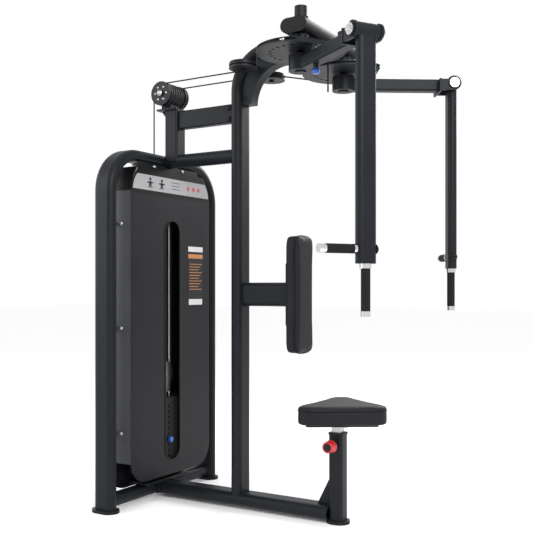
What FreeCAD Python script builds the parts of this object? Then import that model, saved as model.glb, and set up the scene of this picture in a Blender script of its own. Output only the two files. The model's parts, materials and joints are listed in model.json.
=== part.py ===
"""Pec fly and rear delt machine: weight stack tower, column, overhead pivots, swinging arms and seat.

Millimetres, +Z up. +X runs from the weight stack tower to the user's seat, +Y is the user's left.
The origin is on the floor, under the middle of the machine's outline.
"""

import FreeCAD, Part
import math
import os
import re

import Sketcher

Vector = FreeCAD.Vector
Rotation = FreeCAD.Rotation

# Driving dimensions. X positions are measured from the middle plane of the tower bow.
SIZES = {
    # where the tower plane stands in the machine's own frame
    "tower_x": -600.4,
    # flat-oval frame tube, shared by the bow, the column, the spine and the crossbeam
    "oval_wide": 100,
    "oval_thick": 50,
    "wall": 3,
    "floor_gap": 12,
    # tower bow
    "leg_y": 362,
    "bow_top": 1508,
    "bow_bend": 165,
    # base
    "cross_radius": 30,
    "base_z": 42,
    "spine_end": 870,
    "spine_wide": 106,
    "spine_thick": 55,
    "spine_z": 39.5,
    # column and upper frame
    "column_x": 436,
    "column_bend": 160,
    "gusset_low": 1712,
    "brace_z": 1503,
    "flat_brace_z": 1685,
    "post_x": 86,
    "post_size": 60,
    "pulley_post_wide": 68,
    "deck_z": 1737,
    "boom_wide": 50,
    # overhead pivots
    "pivot_x": 833,
    "pivot_y": 187,
    "beam_z": 1933,
    "beam_half": 230,
    "cross_x": 826,
    "cross_z": 1937,
    "cross_wide": 114,
    "cross_thick": 58,
    "housing_radius": 29,
    "bush_radius": 22,
    "shaft_radius": 15,
    "cam_z": 1838,
    "cam_thick": 16,
    "cam_radius": 173,
    "cam_pitch": 167,
    # cable and pulleys
    "cable_radius": 3,
    "cable_z": 1846,
    "cable_y": 60,
    "run_x": 14,
    "top_pitch": 44,
    "top_radius": 53,
    "side_x": 523,
    "side_pitch": 54,
    "side_radius": 58.5,
    "pulley_thick": 20,
    "groove_radius": 3.4,
    "float_z": 545,
    # arms and hanging posts
    "arm_angle": 33.17,
    "arm_length": 458.8,
    "arm_size": 50,
    "arm_z": 1792,
    "hub_z": 1795,
    "hub_radius": 27,
    "hang_wide": 75,
    "hang_thick": 38,
    "hang_bottom": 1018,
    "hang_top": 1790,
    "grip_radius": 16,
    "grip_rod": 11,
    "bar_z": 1067,
    "index_radius": 119,
    # back pad
    "pad_back": 696,
    "pad_z": 909,
    "pad_tall": 484,
    "pad_wide": 149,
    "pad_thick": 59,
    # seat
    "seat_post_x": 900,
    "seat_post_top": 353,
    "seat_tube": 40,
    "seat_bottom": 403,
    "seat_thick": 77,
    "seat_rear_x": 845,
    "seat_rear_y": 140,
    "seat_nose_x": 1060,
    "seat_corner": 50,
    "seat_pin_z": 314,
    # tower covers
    "cover_x": 70,
    "cover_half": 286,
    "cover_sheet": 2,
    "cover_bottom": 100,
    "cover_top": 1340,
    "cover_corner": 100,
    "slot_half": 50,
    "slot_bottom": 165,
    "slot_top": 1236,
    "header_top": 1457,
    "sign_bottom": 1360,
    "sign_top": 1426,
    # weight stack
    "rod_x": -17,
    "rod_y": 85.6,
    "rod_radius": 11,
    "stack_bottom": 115,
    "plate_pitch": 25,
    "plate_thick": 24,
    "plate_front": 50,
    "plate_deep": 110,
    "plate_wide": 300,
    "stem_radius": 12.5,
}

RESTING_PLATES = 5
LIFTED_PLATES = 7
INDEX_HOLES = 12
INDEX_STEP_DEG = 15
SPACER_HEIGHTS = (317, 765, 1210)
SEAT_HOLES = 5
SEAT_HOLE_STEP = 30
SEAT_HOLE_RADIUS = 6

doc = FreeCAD.newDocument("pec_deck")
sheet = doc.addObject("Spreadsheet::Sheet", "size")
for row, (alias, number) in enumerate(SIZES.items(), start=1):
    sheet.set(f"A{row}", alias)
    sheet.set(f"B{row}", str(number))
    sheet.setAlias(f"B{row}", alias)
doc.recompute()

TURN_TO = {
    "Z": Rotation(),
    "X": Rotation(Vector(0, 1, 0), 90),
    "Y": Rotation(Vector(1, 0, 0), -90),
}
SIDES = {"right": -1, "left": 1}
nodes = {}


def size(alias):
    """The number in the sheet's cell."""
    return float(sheet.get(alias))


def formula(text):
    """The text with each cell's alias turned into a reference to the sheet."""
    return re.sub(
        r"[a-z][a-z_]+",
        lambda word: "size." + word.group(0) if word.group(0) in SIZES else word.group(0),
        str(text),
    )


def bind(item, **formulas):
    """Ties properties of an object to the sheet."""
    for name, text in formulas.items():
        item.setExpression(name, formula(text))
    return item


def place(item, at, turn=Rotation()):
    """Turns an object and ties its position to the sheet."""
    item.Placement = FreeCAD.Placement(Vector(), turn)
    for axis, text in zip("xyz", at):
        item.setExpression(f"Placement.Base.{axis}", formula(text))
    return item


def box(name, lengths, at, turn=Rotation()):
    item = doc.addObject("Part::Box", name)
    bind(item, Length=lengths[0], Width=lengths[1], Height=lengths[2])
    return place(item, at, turn)


def cylinder(name, radius, height, at, turn=Rotation()):
    item = doc.addObject("Part::Cylinder", name)
    bind(item, Radius=radius, Height=height)
    return place(item, at, turn)


def fuse(name, *items):
    item = doc.addObject("Part::MultiFuse", name)
    item.Shapes = list(items)
    return item


def cut(name, base, *tools):
    item = doc.addObject("Part::Cut", name)
    item.Base = base
    item.Tool = tools[0] if len(tools) == 1 else fuse(name + "_tools", *tools)
    return item


def group(name, *items):
    item = doc.addObject("Part::Compound", name)
    item.Links = list(items)
    return item


def rounded(name, base, radius, along):
    """The base with every straight edge along one axis rounded."""
    doc.recompute()
    item = doc.addObject("Part::Fillet", name)
    item.Base = base
    edges = []
    for number, edge in enumerate(base.Shape.Edges, start=1):
        if edge.Curve.TypeId == "Part::GeomLine" and abs(edge.tangentAt(0).dot(along)) > 0.999:
            edges.append((number, radius, radius))
    item.Edges = edges
    return item


def node(name, item):
    """Names a finished sub-part."""
    item.Label = name
    nodes[name] = item
    return item


def solid_feature(name, shape, at=(0, 0, 0), turn=Rotation()):
    """A sub-part whose outline no primitive gives, tied to the sheet by its place."""
    item = doc.addObject("Part::Feature", name)
    item.Shape = shape
    item.Placement = FreeCAD.Placement(Vector(*at), turn)
    return item


def origin_plane(body, role):
    for feature in body.Origin.OriginFeatures:
        if feature.Role == role:
            return feature
    raise ValueError(role)


def add_oval(sketch, label, wide, thick, centre_x=0.0, centre_y=0.0):
    """A flat oval outline, long side along the sketch's X, with its sizes tied to the sheet."""
    radius = 10.0
    half = 12.0
    first = sketch.GeometryCount
    centre = Vector(centre_x, centre_y, 0)
    up = Vector(0, radius, 0)
    side = Vector(half, 0, 0)
    normal = Vector(0, 0, 1)
    sketch.addGeometry(Part.LineSegment(centre - side + up, centre + side + up), False)
    right = Part.Circle(centre + side, normal, radius)
    sketch.addGeometry(Part.ArcOfCircle(right, -math.pi / 2, math.pi / 2), False)
    sketch.addGeometry(Part.LineSegment(centre + side - up, centre - side - up), False)
    left = Part.Circle(centre - side, normal, radius)
    sketch.addGeometry(Part.ArcOfCircle(left, math.pi / 2, 3 * math.pi / 2), False)
    top, right, bottom, left = range(first, first + 4)
    for one, one_end, two, two_end in (
        (top, 2, right, 2),
        (right, 1, bottom, 1),
        (bottom, 2, left, 2),
        (left, 1, top, 1),
    ):
        sketch.addConstraint(Sketcher.Constraint("Tangent", one, one_end, two, two_end))
    sketch.addConstraint(Sketcher.Constraint("Horizontal", top))
    sketch.addConstraint(Sketcher.Constraint("Horizontal", bottom))
    sketch.addConstraint(Sketcher.Constraint("DistanceX", -1, 1, right, 3, centre_x + half))
    reach = sketch.ConstraintCount - 1
    sketch.addConstraint(Sketcher.Constraint("DistanceX", left, 3, right, 3, 2 * half))
    span = sketch.ConstraintCount - 1
    sketch.addConstraint(Sketcher.Constraint("DistanceY", -1, 1, right, 3, centre_y))
    sketch.addConstraint(Sketcher.Constraint("Radius", right, radius))
    curve = sketch.ConstraintCount - 1
    for index, word in ((reach, "reach"), (span, "span"), (curve, "curve")):
        sketch.renameConstraint(index, label + word)
    flat = f"(({wide}) - ({thick})) / 2"
    sketch.setExpression(f"Constraints.{label}reach", formula(f"{flat} + {centre_x}"))
    sketch.setExpression(f"Constraints.{label}span", formula(f"({wide}) - ({thick})"))
    sketch.setExpression(f"Constraints.{label}curve", formula(f"({thick}) / 2"))


def sketch_on(body, role, name):
    sketch = body.newObject("Sketcher::SketchObject", name)
    sketch.AttachmentSupport = [(origin_plane(body, role), "")]
    sketch.MapMode = "FlatFace"
    return sketch


def oval_tube(name, length, at, turn, wide="oval_wide", thick="oval_thick", wall="wall"):
    """A flat-oval tube along its own Z, long side along its own X. No wall makes it solid."""
    body = doc.addObject("PartDesign::Body", name)
    sketch = sketch_on(body, "XY_Plane", name + "_profile")
    add_oval(sketch, "outer_", wide, thick)
    if wall:
        add_oval(sketch, "inner_", f"{wide} - 2 * {wall}", f"{thick} - 2 * {wall}")
    doc.recompute()
    pad = body.newObject("PartDesign::Pad", name + "_pad")
    pad.Profile = sketch
    bind(pad, Length=length)
    return place(body, at, turn)


def square_tube(name, outer, length, at, corner):
    """An upright square tube with rounded outer corners."""
    half = f"({outer}) / 2"
    solid = box(
        name + "_outer",
        (outer, outer, length),
        (f"{at[0]} - {half}", f"{at[1]} - {half}", at[2]),
    )
    skin = rounded(name + "_skin", solid, corner, Vector(0, 0, 1))
    inner = f"({outer}) - 2 * wall"
    hollow = box(
        name + "_hollow",
        (inner, inner, f"{length} + 2"),
        (f"{at[0]} - ({inner}) / 2", f"{at[1]} - ({inner}) / 2", f"{at[2]} - 1"),
    )
    hollow_skin = rounded(name + "_bore", hollow, corner - size("wall"), Vector(0, 0, 1))
    return cut(name, skin, hollow_skin)


# Tower ------------------------------------------------------------------------------------------


def make_bow():
    """The inverted U that the stack hangs in, with two cable holes through its top run."""
    body = doc.addObject("PartDesign::Body", "bow_body")
    profile = sketch_on(body, "XY_Plane", "bow_profile")
    add_oval(profile, "outer_", "oval_wide", "oval_thick", 0.0, -size("leg_y"))
    add_oval(profile, "inner_", "oval_wide - 2 * wall", "oval_thick - 2 * wall", 0.0, -size("leg_y"))
    path = sketch_on(body, "YZ_Plane", "bow_path")
    leg = size("leg_y")
    bend = size("bow_bend")
    top = size("bow_top") - size("floor_gap")
    normal = Vector(0, 0, 1)
    near = Part.Circle(Vector(-leg + bend, top - bend, 0), normal, bend)
    far = Part.Circle(Vector(leg - bend, top - bend, 0), normal, bend)
    path.addGeometry(Part.LineSegment(Vector(-leg, 0, 0), Vector(-leg, top - bend, 0)), False)
    path.addGeometry(Part.ArcOfCircle(near, math.pi / 2, math.pi), False)
    path.addGeometry(Part.LineSegment(Vector(-leg + bend, top, 0), Vector(leg - bend, top, 0)), False)
    path.addGeometry(Part.ArcOfCircle(far, 0, math.pi / 2), False)
    path.addGeometry(Part.LineSegment(Vector(leg, top - bend, 0), Vector(leg, 0, 0)), False)
    for one, one_end, two, two_end in ((0, 2, 1, 2), (1, 1, 2, 1), (2, 2, 3, 2), (3, 1, 4, 1)):
        path.addConstraint(Sketcher.Constraint("Coincident", one, one_end, two, two_end))
    doc.recompute()
    pipe = body.newObject("PartDesign::AdditivePipe", "bow_pipe")
    pipe.Profile = profile
    pipe.Spine = (path, ["Edge1", "Edge2", "Edge3", "Edge4", "Edge5"])
    place(body, ("tower_x", 0, "floor_gap"))
    holes = [
        cylinder(f"bow_hole_{side}", 8, 80, ("tower_x + run_x", f"{sign} * cable_y", "bow_top - 40"))
        for side, sign in SIDES.items()
    ]
    node("tower_bow", cut("tower_bow", body, *holes))


def make_feet():
    """Oval steel foot plates under the legs and the seat post, each on a rubber pad."""
    plates = []
    pads = []
    spots = {
        "right": ("tower_x", "-leg_y", 126, 80),
        "left": ("tower_x", "leg_y", 126, 80),
        "seat": ("tower_x + seat_post_x", 0, 96, 86),
    }
    for name, (x, y, wide, thick) in spots.items():
        steel = oval_tube(f"foot_{name}", 6, (x, y, "floor_gap - 6"), Rotation(), wide, thick, None)
        rubber = oval_tube(f"rubber_{name}", 6, (x, y, 0), Rotation(), wide, thick, None)
        plates.append(steel)
        pads.append(rubber)
    node("foot_plates", group("foot_plates", *plates))
    node("rubber_feet", group("rubber_feet", *pads))


def make_base():
    """Round cross tube between the legs, and the flat spine that runs out to the seat post."""
    outer = cylinder(
        "cross_outer",
        "cross_radius",
        "2 * leg_y - oval_thick",
        ("tower_x", "oval_thick / 2 - leg_y", "base_z"),
        TURN_TO["Y"],
    )
    inner = cylinder(
        "cross_inner",
        "cross_radius - wall",
        "2 * leg_y",
        ("tower_x", "-leg_y", "base_z"),
        TURN_TO["Y"],
    )
    node("base_cross_tube", cut("base_cross_tube", outer, inner))
    lying = Rotation(Vector(0, 1, 0), 90).multiply(Rotation(Vector(0, 0, 1), 90))
    at = ("tower_x", 0, "spine_z")
    spine = oval_tube("spine_tube", "spine_end", at, lying, "spine_wide", "spine_thick")
    flange = box("spine_flange", (12, 124, 46), ("tower_x + 27", -62, 19))
    saddle = cylinder(
        "spine_saddle", "cross_radius", "2 * leg_y", ("tower_x", "-leg_y", "base_z"), TURN_TO["Y"]
    )
    node("base_spine", cut("base_spine", fuse("spine_blank", spine, flange), saddle))


def make_column():
    """The upright, bent forward over the seat, saddled on the spine and on the crossbeam."""
    body = doc.addObject("PartDesign::Body", "column_tube")
    profile = sketch_on(body, "XY_Plane", "column_profile")
    add_oval(profile, "outer_", "oval_wide", "oval_thick")
    add_oval(profile, "inner_", "oval_wide - 2 * wall", "oval_thick - 2 * wall")
    path = sketch_on(body, "YZ_Plane", "column_path")
    bend = size("column_bend")
    top = size("beam_z") - size("base_z")
    reach = size("pivot_x") - size("oval_thick") / 2 - size("column_x")
    curve = Part.Circle(Vector(bend, top - bend, 0), Vector(0, 0, 1), bend)
    path.addGeometry(Part.LineSegment(Vector(0, 0, 0), Vector(0, top - bend, 0)), False)
    path.addGeometry(Part.ArcOfCircle(curve, math.pi / 2, math.pi), False)
    path.addGeometry(Part.LineSegment(Vector(bend, top, 0), Vector(reach, top, 0)), False)
    path.addConstraint(Sketcher.Constraint("Coincident", 0, 2, 1, 2))
    path.addConstraint(Sketcher.Constraint("Coincident", 1, 1, 2, 1))
    doc.recompute()
    pipe = body.newObject("PartDesign::AdditivePipe", "column_pipe")
    pipe.Profile = profile
    pipe.Spine = (path, ["Edge1", "Edge2", "Edge3"])
    place(body, ("tower_x + column_x", 0, "base_z"), Rotation(Vector(0, 0, 1), -90))
    lying = Rotation(Vector(0, 1, 0), 90).multiply(Rotation(Vector(0, 0, 1), 90))
    at = ("tower_x", 0, "spine_z")
    saddle = oval_tube("column_saddle", "spine_end", at, lying, "spine_wide", "spine_thick", None)
    node("column", cut("column", body, saddle, beam_solid("column_beam_seat")))


def make_braces():
    """Two braces from the tower to the column: a round one below, a rectangular one above."""
    start = "oval_wide / 2 - 22"
    run = f"column_x - oval_thick / 2 - ({start})"
    at = (f"tower_x + {start}", 0, "brace_z")
    outer = cylinder("round_outer", "cross_radius", run, at, TURN_TO["X"])
    inner = cylinder(
        "round_inner", "cross_radius - wall", f"{run}", (f"tower_x + {start}", 0, "brace_z"), TURN_TO["X"]
    )
    face = "post_x + pulley_post_wide / 2"
    run = f"column_x - oval_thick / 2 - ({face})"
    bar = box("flat_outer", (run, 40, 80), (f"tower_x + {face}", -20, "flat_brace_z - 40"))
    bar = rounded("flat_skin", bar, 6, Vector(1, 0, 0))
    hollow = box(
        "flat_hollow",
        (f"{run} + 2", "40 - 2 * wall", "80 - 2 * wall"),
        (f"tower_x + {face} - 1", "wall - 20", "flat_brace_z - 40 + wall"),
    )
    turn = Rotation(Vector(1, 0, 0), -90)
    seat = oval_tube("bow_seat", 200, ("tower_x", -100, "bow_top"), turn, wall=None)
    round_brace = cut("round_brace", outer, inner, seat)
    flat_brace = cut("flat_brace", bar, hollow)
    node("upper_braces", group("upper_braces", round_brace, flat_brace))


def make_pulley_post():
    """Stub post on the round brace, with the deck plate and gusset that carry the top pulleys."""
    at = ("tower_x + post_x", 0, "brace_z")
    tube = square_tube("stub_tube", "pulley_post_wide", "deck_z - 6 - brace_z", at, 9)
    saddle = cylinder("stub_saddle", "cross_radius", 300, ("tower_x", 0, "brace_z"), TURN_TO["X"])
    deck = box("deck", (106, 96, 6), ("tower_x + post_x - 72", -48, "deck_z - 6"))
    deck = rounded("deck_plate", deck, 8, Vector(0, 0, 1))
    foot = Vector(0, 0, 0)
    web = Part.Face(Part.makePolygon([foot, Vector(-36, 0, 0), Vector(0, 0, -46), foot]))
    corner = (size("tower_x") + size("post_x") - size("pulley_post_wide") / 2, -3, size("deck_z") - 6)
    gusset = solid_feature("deck_gusset", web.extrude(Vector(0, 6, 0)), corner)
    blank = fuse("pulley_post_blank", cut("stub", tube, saddle), deck, gusset)
    node("pulley_post", blank)


def make_covers():
    """Front panel with its long sight slot, side strips, back shroud, header and sign."""
    half = size("cover_half")
    corner = size("cover_corner")
    low = size("cover_bottom")
    high = size("cover_top")
    sheet_thick = size("cover_sheet")
    plane = size("tower_x") + size("cover_x")
    node(
        "front_cover",
        solid_feature(
            "front_cover",
            cover_panel(half, low, high, corner, sheet_thick).cut(
                slot_solid(size("slot_half"), size("slot_bottom"), size("slot_top"), sheet_thick)
            ),
            (plane, 0, 0),
        ),
    )
    shroud = cover_panel(half, 50, high + 10, 130, sheet_thick)
    node("back_cover", solid_feature("back_cover", shroud, (size("tower_x") - size("cover_x") - sheet_thick, 0, 0)))
    strips = []
    for side, sign in SIDES.items():
        strip = box(
            f"strip_{side}",
            ("2 * cover_x", 3, "cover_top - 180"),
            ("tower_x - cover_x", f"{sign} * (cover_half - 1.5) - 1.5", 190),
        )
        strips.append(strip)
    node("side_covers", group("side_covers", *strips))
    face = header_outline(half, size("cover_top"), size("header_top"), sheet_thick)
    deep = 2 * size("cover_x")
    shell = header_outline(half, size("cover_top") + 10, size("header_top"), deep)
    room = header_outline(half - 3, size("cover_top") + 9, size("header_top") + 1, deep)
    cheeks = shell.cut(room).cut(Part.makeBox(deep, 380, 200, Vector(0, -190, size("cover_top"))))
    cheeks.translate(Vector(-deep, 0, 0))
    header = face.fuse(cheeks)
    node("header_panel", solid_feature("header_panel", header, (plane, 0, 0)))
    sign_plate = header_outline(half - 12, size("sign_bottom"), size("sign_top"), 1.5)
    node(
        "instruction_plate",
        solid_feature("instruction_plate", sign_plate, (plane + sheet_thick, 0, 0)),
    )
    trim = slot_solid(size("slot_half") + 5, size("slot_bottom") - 5, size("slot_top") + 5, 3)
    hole = slot_solid(size("slot_half"), size("slot_bottom"), size("slot_top"), 3)
    node("slot_trim", solid_feature("slot_trim", trim.cut(hole), (plane + sheet_thick, 0, 0)))
    spacers = []
    for side, sign in SIDES.items():
        low = "-(leg_y - oval_thick / 2)" if sign < 0 else "cover_half"
        for number, height in enumerate(SPACER_HEIGHTS):
            spacers.append(
                cylinder(
                    f"spacer_{side}_{number}",
                    7,
                    "leg_y - oval_thick / 2 - cover_half",
                    ("tower_x - 16", low, height),
                    TURN_TO["Y"],
                )
            )
    node("cover_spacers", group("cover_spacers", *spacers))


def cover_panel(half, low, high, corner, thick):
    """An upright panel in the YZ plane with round lower corners, extruded along +X."""
    diagonal = corner * (1 - math.sqrt(0.5))
    edges = [
        Part.LineSegment(Vector(0, -half + corner, low), Vector(0, half - corner, low)).toShape(),
        Part.Arc(
            Vector(0, half - corner, low),
            Vector(0, half - diagonal, low + diagonal),
            Vector(0, half, low + corner),
        ).toShape(),
        Part.LineSegment(Vector(0, half, low + corner), Vector(0, half, high)).toShape(),
        Part.LineSegment(Vector(0, half, high), Vector(0, -half, high)).toShape(),
        Part.LineSegment(Vector(0, -half, high), Vector(0, -half, low + corner)).toShape(),
        Part.Arc(
            Vector(0, -half, low + corner),
            Vector(0, -half + diagonal, low + diagonal),
            Vector(0, -half + corner, low),
        ).toShape(),
    ]
    return Part.Face(Part.Wire(edges)).extrude(Vector(thick, 0, 0))


def slot_solid(half, low, high, thick):
    """An upright slot with round ends, from its back face towards +X."""
    bottom = low + half
    top = high - half
    edges = [
        Part.LineSegment(Vector(0, half, bottom), Vector(0, half, top)).toShape(),
        Part.Arc(Vector(0, half, top), Vector(0, 0, high), Vector(0, -half, top)).toShape(),
        Part.LineSegment(Vector(0, -half, top), Vector(0, -half, bottom)).toShape(),
        Part.Arc(Vector(0, -half, bottom), Vector(0, 0, low), Vector(0, half, bottom)).toShape(),
    ]
    return Part.Face(Part.Wire(edges)).extrude(Vector(thick, 0, 0))


def header_outline(half, low, high, thick):
    """A panel whose two ends curve in towards its top edge."""
    inset = 0.45 * (high - low)
    bulge = 0.12 * (high - low)
    middle = (low + high) / 2
    side = half - inset / 2 + bulge
    edges = [
        Part.LineSegment(Vector(0, -half, low), Vector(0, half, low)).toShape(),
        Part.Arc(Vector(0, half, low), Vector(0, side, middle), Vector(0, half - inset, high)).toShape(),
        Part.LineSegment(Vector(0, half - inset, high), Vector(0, inset - half, high)).toShape(),
        Part.Arc(Vector(0, inset - half, high), Vector(0, -side, middle), Vector(0, -half, low)).toShape(),
    ]
    return Part.Face(Part.Wire(edges)).extrude(Vector(thick, 0, 0))


# Weight stack -----------------------------------------------------------------------------------


def make_rods():
    """Two guide rods on a tray across the cross tube, with a rubber bumper on each."""
    at_x = "tower_x + rod_x"
    rods = []
    bumpers = []
    for side, sign in SIDES.items():
        rod = cylinder(
            f"rod_{side}",
            "rod_radius",
            "bow_top - oval_thick / 2 - 86",
            (at_x, f"{sign} * rod_y", 80),
        )
        ring = cylinder(f"bumper_{side}_outer", 24, "stack_bottom - 80", (at_x, f"{sign} * rod_y", 80))
        bore = cylinder(f"bumper_{side}_bore", "rod_radius", 60, (at_x, f"{sign} * rod_y", 70))
        rods.append(rod)
        bumpers.append(cut(f"bumper_{side}", ring, bore))
    node("guide_rods", group("guide_rods", *rods))
    node("stack_bumpers", group("stack_bumpers", *bumpers))
    tray = box("tray", (110, 300, 12), ("tower_x + plate_front - plate_deep", -150, 68))
    tray = rounded("tray_skin", tray, 10, Vector(0, 0, 1))
    seat = cylinder("tray_seat", "cross_radius", 400, ("tower_x", -200, "base_z"), TURN_TO["Y"])
    under = "bow_top - oval_thick / 2"
    flat = box("bracket_flat", (90, 300, 6), ("tower_x - 40", -150, f"{under} - 6"))
    lip = box("bracket_lip", (3, 440, 26), ("tower_x + 47", -220, f"{under} - 26"))
    passing = cylinder("bracket_brace", "cross_radius", 200, ("tower_x", 0, "brace_z"), TURN_TO["X"])
    holes = [
        cylinder(f"bracket_hole_{side}", 8, 40, ("tower_x + run_x", f"{sign} * cable_y", f"{under} - 30"))
        for side, sign in SIDES.items()
    ]
    upper = cut("upper_bracket", fuse("bracket_blank", flat, lip), passing, *holes)
    node("rod_mounts", group("rod_mounts", cut("rod_base", tray, seat), upper))


def make_plate(name, number, pin_hole):
    """One weight plate, bored for the rods and the selector stem."""
    low = f"stack_bottom + {number} * plate_pitch"
    blank = box(
        name + "_blank",
        ("plate_deep", "plate_wide", "plate_thick"),
        ("tower_x + plate_front - plate_deep", "-plate_wide / 2", low),
    )
    blank = rounded(name + "_skin", blank, 6, Vector(0, 0, 1))
    bores = [
        cylinder(
            f"{name}_bore_{side}",
            "rod_radius + 1.5",
            40,
            ("tower_x + rod_x", f"{sign} * rod_y", f"{low} - 5"),
        )
        for side, sign in SIDES.items()
    ]
    bores.append(cylinder(name + "_stem", "stem_radius + 1.5", 40, ("tower_x + run_x", 0, f"{low} - 5")))
    bores.append(
        cylinder(
            name + "_pin",
            6,
            60,
            ("tower_x + run_x", 0, f"{low} + plate_thick / 2"),
            TURN_TO["X"],
        )
    )
    if not pin_hole:
        bores.pop()
    return cut(name, blank, *bores)


def make_stack():
    """Plates left standing, plates picked up by the pin, the head plate, stem and selector pin."""
    resting = [make_plate(f"resting_{n}", n, True) for n in range(RESTING_PLATES)]
    node("resting_plates", group("resting_plates", *resting))
    count = RESTING_PLATES + LIFTED_PLATES
    lifted = [make_plate(f"lifted_{n}", n, True) for n in range(RESTING_PLATES, count)]
    node("lifted_plates", group("lifted_plates", *lifted))
    node("head_plate", make_plate("head_plate", count, False))
    low = f"stack_bottom + {RESTING_PLATES} * plate_pitch"
    stem = cylinder("stem_bar", "stem_radius", 342, ("tower_x + run_x", 0, "stack_bottom + 6"))
    collar = cylinder(
        "stem_collar",
        19,
        24,
        ("tower_x + run_x", 0, f"stack_bottom + {count + 1} * plate_pitch - 1"),
    )
    hole = cylinder(
        "stem_hole",
        4.6,
        80,
        ("tower_x + run_x - 40", 0, f"{low} + plate_thick / 2"),
        TURN_TO["X"],
    )
    node("selector_stem", cut("selector_stem", fuse("stem_blank", stem, collar, *make_yoke()), hole))
    shaft = cylinder(
        "pin_shaft", 4.5, "plate_front + 4 - run_x + 8", ("tower_x + run_x - 8", 0, f"{low} + plate_thick / 2"), TURN_TO["X"]
    )
    knob = cylinder(
        "pin_knob", 13, 16, ("tower_x + plate_front + 3", 0, f"{low} + plate_thick / 2"), TURN_TO["X"]
    )
    node("selector_pin", fuse("selector_pin", shaft, knob))


def grooved_wheel(name, pitch, radius, thick, bore, at, turn):
    """A wheel with a round-bottomed cable groove, turned about its own Z and centred on it."""
    body = doc.addObject("PartDesign::Body", name + "_body")
    sketch = sketch_on(body, "XZ_Plane", name + "_section")
    hub, line, rim, half, groove = 10.0, 40.0, 50.0, 8.0, 3.0
    corners = [
        (Vector(hub, -half, 0), Vector(rim, -half, 0)),
        (Vector(rim, -half, 0), Vector(rim, -groove, 0)),
        (Vector(rim, -groove, 0), Vector(line, -groove, 0)),
        None,
        (Vector(line, groove, 0), Vector(rim, groove, 0)),
        (Vector(rim, groove, 0), Vector(rim, half, 0)),
        (Vector(rim, half, 0), Vector(hub, half, 0)),
        (Vector(hub, half, 0), Vector(hub, -half, 0)),
    ]
    for ends in corners:
        if ends:
            sketch.addGeometry(Part.LineSegment(*ends), False)
        else:
            seat = Part.Circle(Vector(line, 0, 0), Vector(0, 0, 1), groove)
            sketch.addGeometry(Part.ArcOfCircle(seat, math.pi / 2, 3 * math.pi / 2), False)
    for one, one_end, two, two_end in (
        (0, 2, 1, 1),
        (1, 2, 2, 1),
        (4, 2, 5, 1),
        (5, 2, 6, 1),
        (6, 2, 7, 1),
        (7, 2, 0, 1),
    ):
        sketch.addConstraint(Sketcher.Constraint("Coincident", one, one_end, two, two_end))
    sketch.addConstraint(Sketcher.Constraint("Tangent", 2, 2, 3, 2))
    sketch.addConstraint(Sketcher.Constraint("Tangent", 3, 1, 4, 1))
    for number in (0, 2, 4, 6):
        sketch.addConstraint(Sketcher.Constraint("Horizontal", number))
    for number in (1, 5, 7):
        sketch.addConstraint(Sketcher.Constraint("Vertical", number))
    sketch.addConstraint(Sketcher.Constraint("PointOnObject", 3, 3, -1))
    for word, text, constraint in (
        ("pitch", pitch, ("DistanceX", -1, 1, 3, 3, line)),
        ("groove", "groove_radius", ("Radius", 3, groove)),
        ("bore", bore, ("DistanceX", -1, 1, 0, 1, hub)),
        ("rim_low", radius, ("DistanceX", -1, 1, 0, 2, rim)),
        ("rim_high", radius, ("DistanceX", -1, 1, 4, 2, rim)),
        ("half_low", f"({thick}) / 2", ("DistanceY", 0, 1, -1, 1, half)),
        ("half_high", f"({thick}) / 2", ("DistanceY", -1, 1, 7, 1, half)),
    ):
        number = sketch.addConstraint(Sketcher.Constraint(*constraint))
        sketch.renameConstraint(number, word)
        sketch.setExpression(f"Constraints.{word}", formula(text))
    doc.recompute()
    wheel = body.newObject("PartDesign::Revolution", name + "_turned")
    wheel.Profile = sketch
    wheel.ReferenceAxis = (sketch, ["V_Axis"])
    wheel.Angle = 360
    return place(body, at, turn)


def make_yoke():
    """The bracket on top of the stem that holds the floating pulley."""
    bolt = cylinder("float_bolt", 8, 44, ("tower_x + run_x - 22", 0, "float_z"), TURN_TO["X"])
    top = f"stack_bottom + {RESTING_PLATES + LIFTED_PLATES + 1} * plate_pitch + 23"
    cheeks = [
        box(
            f"cheek_{name}",
            (4, 70, f"float_z + 55 - ({top})"),
            (f"tower_x + run_x {offset}", -35, top),
        )
        for name, offset in (("rear", "- 18"), ("front", "+ 14"))
    ]
    bridge = box("float_bridge", (36, 70, 8), ("tower_x + run_x - 18", -35, top))
    return [*cheeks, bridge, bolt]


def make_floating_pulley():
    """The pulley that both cable runs share, and the cable's loop round it."""
    at = ("tower_x + run_x", 0, "float_z")
    node(
        "floating_pulley",
        grooved_wheel("floating_pulley", "cable_y", "cable_y + 4.5", 20, 8.06, at, TURN_TO["X"]),
    )
    reach = size("cable_y")
    centre = Vector(size("tower_x") + size("run_x"), 0, size("float_z"))
    across = Vector(0, reach, 0)
    arc = Part.Arc(centre - across, centre - Vector(0, 0, reach), centre + across).toShape()
    loop = swept_cable([arc], centre - across, Vector(0, 0, -1))
    node("lift_cable_loop", solid_feature("lift_cable_loop", loop))
    runs = [
        cylinder(
            f"run_{side}",
            "cable_radius",
            "cable_z - top_pitch - float_z",
            ("tower_x + run_x", f"{sign} * cable_y", "float_z"),
        )
        for side, sign in SIDES.items()
    ]
    node("lift_cable_runs", group("lift_cable_runs", *runs))


def swept_cable(edges, start, direction):
    """A round cable along joined straight runs and arcs."""
    ring = Part.Wire([Part.makeCircle(size("cable_radius"), start, direction)])
    return Part.Wire(edges).makePipeShell([ring], True, False)


# Overhead frame ---------------------------------------------------------------------------------


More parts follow.
